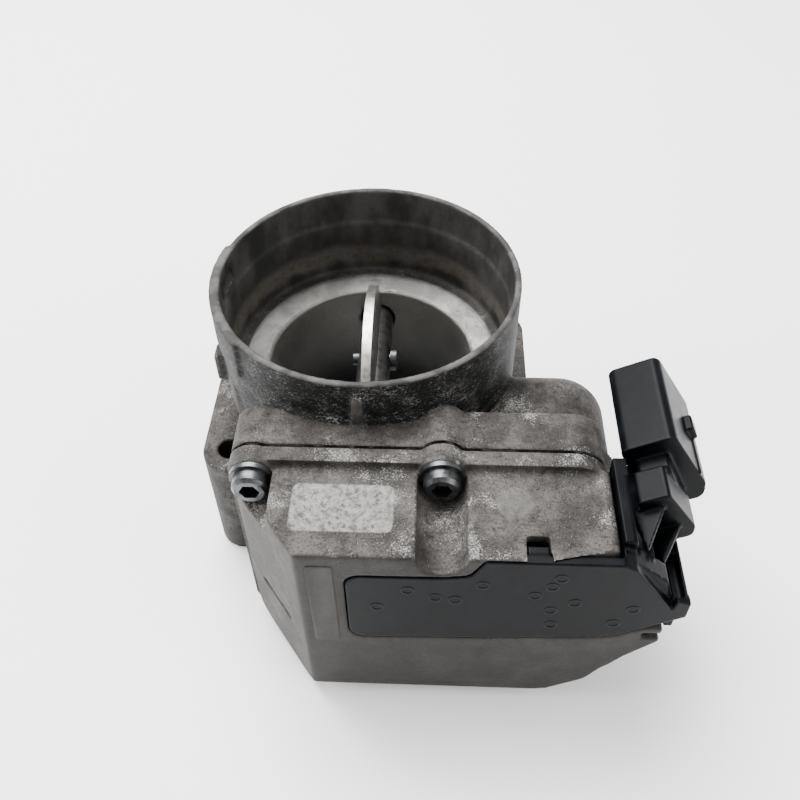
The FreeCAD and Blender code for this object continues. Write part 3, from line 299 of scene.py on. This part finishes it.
def cover_material():
    """The cover's casting, with pale etched patches on top and a smoother front face darkened with painted
    shade.
    """
    shader = Shader("cast_cover")
    colour, clouds, specks, pits = casting_base(shader, 0.18)
    worn = shader.fade(shader.noise(1.6, detail=8, rough=0.8), 0.36, 0.60)
    patch = shader.both(etched(shader, (-2.2, -65.6), (11.8, 6.6), 1.8), worn)
    colour = shader.mix(colour, (0.24, 0.234, 0.222), shader.calc("MULTIPLY", patch, 0.85))
    small = shader.both(etched(shader, (37.2, -63.2), (4.4, 4.4), 4.3), worn)
    colour = shader.mix(colour, (0.12, 0.117, 0.11), shader.calc("MULTIPLY", small, 0.55))
    # painted shade: the front face gets a darker tone than the top, with real grime streaks and nicks on it
    front = shader.fade(shader.y, -78.0, -78.8)
    shaded_front_tone = shader.mix((0.0165, 0.0150, 0.0136), (0.030, 0.0277, 0.0248), shader.fade(clouds, 0.35, 0.7))
    grime = shader.noise(5, detail=7, rough=0.7, stretch=(0.5, 1, 1.4))
    grimy = shader.calc("MULTIPLY", shader.fade(grime, 0.52, 0.72), 0.6)
    shaded_front_tone = shader.mix(shaded_front_tone, (0.008, 0.0074, 0.0070), grimy)
    nicks = shader.fade(shader.noise(1.2, detail=5, rough=0.7), 0.66, 0.74)
    shaded_front_tone = shader.mix(shaded_front_tone, GREY_LIGHT, shader.calc("MULTIPLY", nicks, 0.5))
    colour = shader.mix(colour, shaded_front_tone, shader.calc("MULTIPLY", front, 0.85))
    rough = shader.span(clouds, 0.48, 0.78)
    return shader.finish(colour, rough, 0.30, casting_bump(shader, specks, pits),
                         Specular_IOR_Level=0.25)


def metal(name, colour, worn, roughness, grain=0.7, stretch=(1, 1, 1), metallic=1.0):
    """Plated, ground or drawn metal with a fine grain and slight tarnish."""
    shader = Shader(name)
    tarnish = shader.noise(3.0, detail=6, rough=0.65)
    lines = shader.noise(grain, detail=3, stretch=stretch)
    tone = shader.mix(colour, worn, shader.fade(tarnish, 0.42, 0.72))
    rough = shader.calc("MULTIPLY_ADD", lines, 0.18, roughness - 0.06)
    return shader.finish(tone, rough, metallic, shader.bump(lines, 0.02))


def plastic(name, colour, paler, roughness, shine=0.5):
    """Moulded plastic: fine spark-eroded grain, a little dust and painted highlights on its sharp edges."""
    shader = Shader(name)
    grain = shader.noise(0.28, detail=3)
    flow = shader.noise(6, detail=5, rough=0.6)
    dust = shader.fade(shader.noise(0.9, detail=7, rough=0.8), 0.60, 0.74)
    tone = shader.mix(colour, paler, shader.fade(flow, 0.40, 0.72))
    tone = shader.mix(tone, (0.10, 0.10, 0.10), shader.calc("MULTIPLY", dust, 0.12))
    # lighter on sharp edges: painted edge highlight, with some real wear
    worn = [channel * 3 + 0.012 for channel in paler]
    tone = shader.mix(tone, worn, shader.calc("MULTIPLY", shader.edges(0.53, 0.62), 0.7))
    rough = shader.calc("MULTIPLY_ADD", flow, 0.16, roughness - 0.05)
    return shader.finish(tone, rough, 0.0, shader.bump(grain, 0.02), Specular_IOR_Level=shine)


def rubber(name, colour, roughness=0.62, shine=0.15):
    """Rubber or gasket paper with a faint paler bloom."""
    shader = Shader(name)
    bloom = shader.noise(2.2, detail=5, rough=0.6)
    paler = [min(1, channel * 1.9 + 0.02) for channel in colour]
    tone = shader.mix(colour, paler, shader.fade(bloom, 0.45, 0.75))
    rough = shader.span(bloom, roughness, roughness + 0.2)
    return shader.finish(tone, rough, 0.0, shader.bump(bloom, 0.03), Specular_IOR_Level=shine)


def board_material():
    """Green solder mask over faint copper tracks."""
    shader = Shader("circuit_board")
    tracks = shader.fade(shader.cells(2.4, (1, 4, 0.6)), 0.42, 0.46)
    tone = shader.mix((0.014, 0.095, 0.045), (0.03, 0.17, 0.08), tracks)
    return shader.finish(tone, shader.span(tracks, 0.32, 0.45), 0.0, shader.bump(tracks, 0.03))


def winding_material():
    """Enamelled wire laid in turns."""
    shader = Shader("enamelled_wire")
    turns = shader.calc("PINGPONG", shader.radius(*MOTOR_AXIS), 0.35)
    height = shader.calc("MULTIPLY", turns, 1 / 0.35)
    tone = shader.mix((0.30, 0.10, 0.04), (0.66, 0.30, 0.14), height)
    return shader.finish(tone, shader.span(height, 0.45, 0.25), 0.9, shader.bump(height, 0.2))


def lamination_material():
    """Stacked steel sheets seen on edge."""
    shader = Shader("laminated_steel")
    sheets = shader.calc("MULTIPLY", shader.calc("PINGPONG", shader.y, 0.25), 4.0)
    tone = shader.mix((0.10, 0.10, 0.11), (0.34, 0.34, 0.35), sheets)
    return shader.finish(tone, shader.span(sheets, 0.55, 0.35), 0.9, shader.bump(sheets, 0.06))


def make_materials():
    """One material for each slot of the record."""
    return {
        "cast_aluminium": housing_material(),
        "cover_aluminium": cover_material(),
        "machined_plate": metal("machined_plate", (0.55, 0.54, 0.51), (0.22, 0.20, 0.17),
                                0.30, 0.25, (1, 1, 12)),
        "steel": metal("ground_steel", (0.34, 0.335, 0.33), (0.16, 0.155, 0.15),
                       0.30, 0.3, (8, 1, 8)),
        "zinc_screw": metal("dark_zinc", (0.098, 0.101, 0.104), (0.020, 0.021, 0.022), 0.34, 0.4),
        "black_plastic": plastic("black_plastic", (0.0010, 0.0013, 0.0020), (0.0030, 0.0036, 0.0046),
                                 0.32, 0.06),
        "gear_plastic": plastic("natural_nylon", (0.30, 0.27, 0.20), (0.40, 0.37, 0.29), 0.42),
        "sintered_gear": metal("sintered_steel", (0.30, 0.29, 0.28), (0.17, 0.165, 0.16), 0.42, 0.5),
        "seal_rubber": rubber("black_rubber", (0.006, 0.006, 0.0063)),
        "green_seal": rubber("green_rubber", (0.012, 0.040, 0.028)),
        "gasket_paper": rubber("dark_gasket", (0.0015, 0.0015, 0.0015), 0.8, 0.02),
        "board_green": board_material(),
        "chip_black": plastic("chip_resin", (0.020, 0.020, 0.022), (0.035, 0.035, 0.038), 0.55),
        "copper": winding_material(),
        "brass": metal("bright_brass", (0.72, 0.53, 0.24), (0.48, 0.33, 0.14), 0.26, 0.4),
        "magnet": metal("ferrite", (0.10, 0.10, 0.105), (0.06, 0.06, 0.062), 0.6, 0.3, metallic=0.2),
        "motor_steel": metal("plated_sheet", (0.58, 0.58, 0.55), (0.38, 0.37, 0.34), 0.32, 0.5),
        "core_steel": lamination_material(),
        "carbon": metal("carbon_brush", (0.050, 0.050, 0.052), (0.030, 0.030, 0.030),
                        0.55, 0.4, metallic=0.3),
        "spring_steel": metal("spring_strip", (0.42, 0.40, 0.36), (0.24, 0.21, 0.17),
                              0.30, 0.3, (8, 1, 8)),
    }


# ---------------------------------------------------------------- mesh helpers

SHARP_ANGLE = math.radians(35)


def apply_modifiers(piece):
    """Bakes a piece's modifiers into its mesh."""
    graph = bpy.context.evaluated_depsgraph_get()
    mesh = bpy.data.meshes.new_from_object(piece.evaluated_get(graph))
    piece.modifiers.clear()
    piece.data = mesh


def soft_copy(node, name, voxel, passes):
    """A copy of a CAD node with the rounded edges of a casting or moulding."""
    mesh = NODES[node].data.copy()
    piece = bpy.data.objects.new(name, mesh)
    bpy.context.collection.objects.link(piece)
    weld = piece.modifiers.new("weld", "WELD")
    weld.merge_threshold = 0.001 * MM
    remesh = piece.modifiers.new("remesh", "REMESH")
    remesh.mode = "VOXEL"
    remesh.voxel_size = voxel * MM
    smooth = piece.modifiers.new("smooth", "SMOOTH")
    smooth.factor = 0.5
    smooth.iterations = passes
    apply_modifiers(piece)
    piece.data.polygons.foreach_set("use_smooth", [True] * len(piece.data.polygons))
    return piece


def distance_to(points, start, end):
    """Distance of every point from the segment between two points, all in metres."""
    start, end = numpy.array(start) * MM, numpy.array(end) * MM
    along = end - start
    share = numpy.clip((points - start) @ along / (along @ along), 0, 1)
    return numpy.linalg.norm(points - start - share[:, None] * along, axis=1)


def soften(piece, edges, reach, passes):
    """Rounds a piece further within reach of the named edges."""
    count = len(piece.data.vertices)
    points = numpy.empty(count * 3)
    piece.data.vertices.foreach_get("co", points)
    points = points.reshape(-1, 3)
    nearest = numpy.min([distance_to(points, *edge) for edge in edges], axis=0) / MM
    weights = numpy.clip((reach - nearest) / (0.4 * reach), 0, 1)
    group = piece.vertex_groups.new(name="soft")
    steps = 10
    for level in range(1, steps + 1):
        chosen = numpy.nonzero(numpy.round(weights * steps) == level)[0]
        group.add(chosen.tolist(), level / steps, "REPLACE")
    smooth = piece.modifiers.new("soften", "SMOOTH")
    smooth.factor = 0.5
    smooth.iterations = passes
    smooth.vertex_group = "soft"
    apply_modifiers(piece)
    piece.vertex_groups.clear()


def lathe(name, profile, axis_at, segments):
    """A ring turned about an axis along Y through (x, z); profile is (radius, y) in millimetres."""
    x0, z0 = axis_at
    turns = [2 * math.pi * i / segments for i in range(segments)]
    mesh = bmesh.new()
    rings = []
    for radius, y in profile:
        rings.append([mesh.verts.new((x0 + radius * math.cos(turn), y, z0 + radius * math.sin(turn)))
                      for turn in turns])
    for low, high in zip(rings, rings[1:]):
        for i in range(segments):
            j = (i + 1) % segments
            mesh.faces.new((low[i], low[j], high[j], high[i]))
    bmesh.ops.recalc_face_normals(mesh, faces=mesh.faces)
    bmesh.ops.scale(mesh, vec=(MM, MM, MM), verts=mesh.verts)
    data = bpy.data.meshes.new(name)
    mesh.to_mesh(data)
    mesh.free()
    piece = bpy.data.objects.new(name, data)
    bpy.context.collection.objects.link(piece)
    return piece


def shade_by_angle(piece):
    """Smooth shading, broken at edges sharper than SHARP_ANGLE."""
    data = piece.data
    data.polygons.foreach_set("use_smooth", [True] * len(data.polygons))
    data.set_sharp_from_angle(angle=SHARP_ANGLE)


def give(piece, body, slot, *replaced):
    """Puts a piece on its body with its slot's material, in place of CAD nodes if named."""
    piece.data.materials.clear()
    piece.data.materials.append(MATERIALS[slot])
    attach(piece, body)
    if replaced:
        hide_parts(*replaced)


# ---------------------------------------------------------------- pieces

# the cover's flat top and front face, and its outer edges that are well rounded, in millimetres
TOP = 65.7
FRONT = -79.0
COVER_EDGES = [
    ((-12, FRONT, TOP), (15, FRONT, TOP)),
    ((-29.4, -55.5, TOP), (-12, FRONT, TOP)),
    ((-12, FRONT, TOP), (-12, FRONT, 4.3)),
    ((-12, FRONT, 4.3), (47, FRONT, 4.3)),
    ((14.9, -57, TOP), (14.9, FRONT, TOP)),
    ((26.2, -57, TOP), (26.2, FRONT, TOP)),
    ((44, FRONT, TOP), (60.4, -75, TOP)),
]


def make_castings():
    """The housing, cover and carrier with their edges rounded, in place of the CAD nodes."""
    housing = soft_copy("throttle_housing", "housing_casting", 0.55, 5)
    give(housing, "housing", "cast_aluminium", "throttle_housing")
    cover = soft_copy("gear_cover", "cover_casting", 0.45, 4)
    soften(cover, COVER_EDGES, 2.6, 24)
    give(cover, "housing", "cover_aluminium", "gear_cover")
    carrier = soft_copy("connector_carrier", "carrier_moulding", 0.30, 3)
    give(carrier, "housing", "black_plastic", "connector_carrier")


# places of the ring marks on the carrier plate, as x and z in millimetres
RING_MARKS = [
    (6.0, 45.5), (13.2, 53.0), (19.6, 50.3), (24.1, 49.5), (30.1, 56.1), (42.1, 52.2), (45.6, 56.2),
    (47.2, 59.7), (51.4, 49.6), (46.2, 46.0), (46.9, 39.6), (61.4, 41.0), (64.9, 47.4),
]
RING_SEGMENTS = 32


def make_ring_marks():
    """The small raised rings left by ejector pins on the carrier plate."""
    profile = [(1.65, FRONT + 0.4), (1.65, FRONT - 0.06), (1.55, FRONT - 0.12), (1.2, FRONT - 0.12),
               (1.1, FRONT - 0.06), (1.1, FRONT + 0.4)]
    for number, place in enumerate(RING_MARKS, start=1):
        ring = lathe("ring_mark_%02d" % number, profile + profile[:1], place, RING_SEGMENTS)
        shade_by_angle(ring)
        give(ring, "housing", "black_plastic")


def make_raised_panel():
    """A plain raised panel on the cover's front face, with bevelled edges."""
    mesh = bmesh.new()
    bmesh.ops.create_cube(mesh, size=1)
    bmesh.ops.scale(mesh, vec=(6.2 * MM, 0.6 * MM, 33 * MM), verts=mesh.verts)
    bmesh.ops.translate(mesh, vec=(-6.6 * MM, (FRONT + 0.10) * MM, 45.5 * MM), verts=mesh.verts)
    upright = [edge for edge in mesh.edges
               if abs(edge.verts[0].co.y - edge.verts[1].co.y) > 0.3 * MM]
    bmesh.ops.bevel(mesh, geom=upright, offset=0.9 * MM, segments=5, affect="EDGES", profile=0.5)
    front = [edge for edge in mesh.edges if all(vertex.co.y < FRONT * MM for vertex in edge.verts)]
    bmesh.ops.bevel(mesh, geom=front, offset=0.15 * MM, segments=2, affect="EDGES", profile=0.5)
    data = bpy.data.meshes.new("raised_panel")
    mesh.to_mesh(data)
    mesh.free()
    piece = bpy.data.objects.new("raised_panel", data)
    bpy.context.collection.objects.link(piece)
    shade_by_angle(piece)
    give(piece, "housing", "cover_aluminium")


def dress_cad_nodes():
    """Gives every carried-over CAD node the material of its slot."""
    for entry in frame["record"]["subparts"]:
        node = NODES[entry["node"]]
        node.data.materials.clear()
        node.data.materials.append(MATERIALS[entry["material_slot"]])


# ---------------------------------------------------------------- stage

LAMP_TARGET = (0.015, -0.02, 0.04)


def make_floor():
    """A pale floor just under the manifold face."""
    mesh = bpy.data.meshes.new("floor")
    reach = 3.0
    corners = [(-reach, -reach, 0), (reach, -reach, 0), (reach, reach, 0), (-reach, reach, 0)]
    mesh.from_pydata(corners, [], [(0, 1, 2, 3)])
    floor = bpy.data.objects.new("floor", mesh)
    floor.location.z = -0.0002
    bpy.context.collection.objects.link(floor)
    shader = Shader("pale_floor")
    cloud = shader.noise(60, detail=2)
    tone = shader.mix((0.94, 0.94, 0.94), (0.96, 0.96, 0.96), cloud)
    mesh.materials.append(shader.finish(tone, 0.6))


def make_lamp(name, place, size, power):
    """A square area light aimed at the middle of the part; metres and watts."""
    data = bpy.data.lights.new(name, "AREA")
    data.shape = "SQUARE"
    data.size = size
    data.energy = power
    lamp = bpy.data.objects.new(name, data)
    bpy.context.collection.objects.link(lamp)
    lamp.location = place
    aim = Vector(LAMP_TARGET) - Vector(place)
    lamp.rotation_euler = aim.to_track_quat("-Z", "Y").to_euler()


def make_world():
    """Even white light from all round."""
    world = bpy.data.worlds.new("studio")
    world.use_nodes = True
    background = world.node_tree.nodes["Background"]
    background.inputs["Color"].default_value = (1, 1, 1, 1)
    background.inputs["Strength"].default_value = 1.0
    bpy.context.scene.world = world


def make_camera():
    """The camera above and in front of the part, looking steeply down at it."""
    data = bpy.data.cameras.new("camera")
    data.lens = 39.87
    data.sensor_width = 36
    camera = bpy.data.objects.new("camera", data)
    bpy.context.collection.objects.link(camera)
    right = Vector((0.99918, 0.03907, -0.01059))
    up = Vector((-0.02136, 0.73111, 0.68192))
    back = right.cross(up)
    turn = Matrix((right, up, back)).transposed().to_4x4()
    camera.matrix_world = Matrix.Translation(Vector((17.47, -184.32, 229.38)) * MM) @ turn
    bpy.context.scene.camera = camera


MATERIALS = make_materials()
make_castings()
make_ring_marks()
make_raised_panel()
dress_cad_nodes()
make_floor()
make_lamp("overhead", (-0.25, 0.40, 0.95), 0.8, 42)
make_lamp("left_window", (-0.80, -0.10, 0.45), 0.4, 7)
make_lamp("right_fill", (0.7, -0.35, 0.45), 0.5, 5)
make_world()
make_camera()
